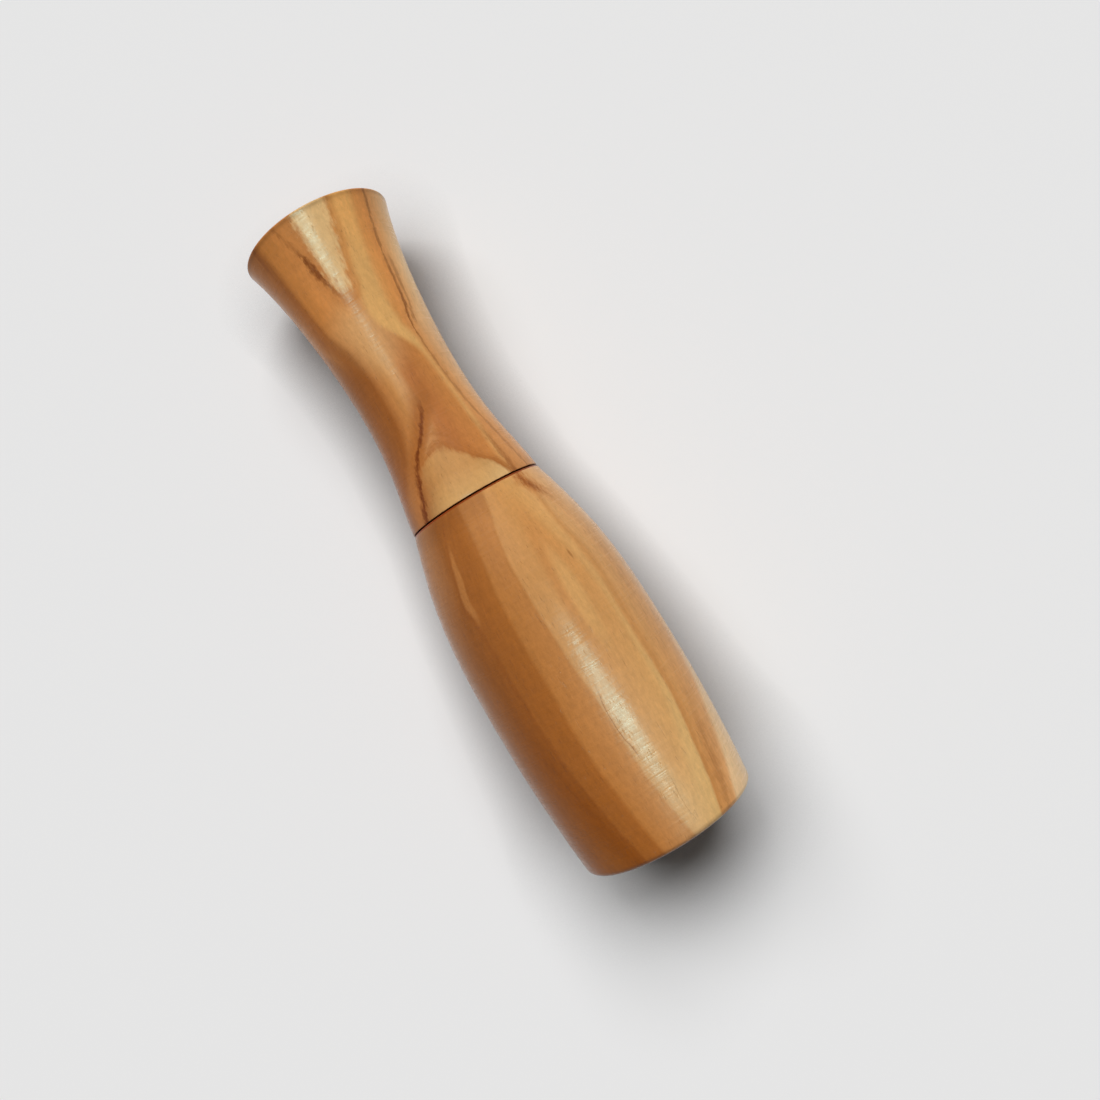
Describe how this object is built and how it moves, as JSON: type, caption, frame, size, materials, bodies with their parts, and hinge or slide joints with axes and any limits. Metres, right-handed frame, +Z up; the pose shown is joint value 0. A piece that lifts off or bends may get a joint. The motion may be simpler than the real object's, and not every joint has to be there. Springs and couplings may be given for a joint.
{
  "type": "bird call",
  "caption": "Turned olive wood mouth call: a swelling barrel and a flared bell push together over a moulded tone board with film reeds, a cork wedge and O-ring seals.",
  "frame": {"origin": "under the middle of the call's length, at the bottom of the barrel's belly, where it lies on a table", "axes": "+X along the bore from the mouth end of the barrel to the rim of the bell, +Z up out of the reeds' flat faces, +Y to the left of a player looking down the call from the mouth end"},
  "size_m": [0.128, 0.0372, 0.0373],
  "materials": {
    "olive_wood_barrel": "satin lacquer over turned olive wood",
    "olive_wood_bell": "satin lacquer over turned olive wood",
    "tone_board_plastic": "moulded black",
    "reed_film": "frosted polyester film",
    "cork": "raw cork",
    "seal_rubber": "matt nitrile"
  },
  "bodies": {
    "barrel": {"barrel": "olive_wood_barrel"},
    "barrel_seals": {"front_barrel_o_ring": "seal_rubber", "rear_barrel_o_ring": "seal_rubber"},
    "tone_unit": {"tone_board": "tone_board_plastic", "cork_wedge": "cork", "front_bell_o_ring": "seal_rubber", "rear_bell_o_ring": "seal_rubber"},
    "bell": {"bell": "olive_wood_bell"},
    "lower_reed": {"lower_reed": "reed_film"},
    "upper_reed": {"upper_reed": "reed_film"}
  },
  "joints": [
    {"name": "insert_pull", "type": "slide", "parent": "barrel", "child": "barrel_seals", "axis": [1, 0, 0], "range_m": [0, 0.056]},
    {"name": "insert_twist", "type": "hinge", "parent": "barrel_seals", "child": "tone_unit", "pos_m": [0.0055, 0, 0.01865], "axis": [1, 0, 0], "continuous": true},
    {"name": "bell_pull", "type": "slide", "parent": "tone_unit", "child": "bell", "axis": [1, 0, 0], "range_m": [0, 0.023]},
    {"name": "lower_reed_flex", "type": "hinge", "parent": "tone_unit", "child": "lower_reed", "pos_m": [-0.0245, 0, 0.01985], "axis": [0, 1, 0], "range_deg": [-2, 1.5], "stiffness_Nm_per_rad": 0.014, "deforming": ["lower_reed"]},
    {"name": "upper_reed_flex", "type": "hinge", "parent": "tone_unit", "child": "upper_reed", "pos_m": [-0.0245, 0, 0.02021], "axis": [0, 1, 0], "range_deg": [-2, 1.5], "stiffness_Nm_per_rad": 0.014, "deforming": ["upper_reed"]}
  ],
  "couplings": [
    {"joint": "upper_reed_flex", "follows": "lower_reed_flex", "ratio": 1}
  ]
}
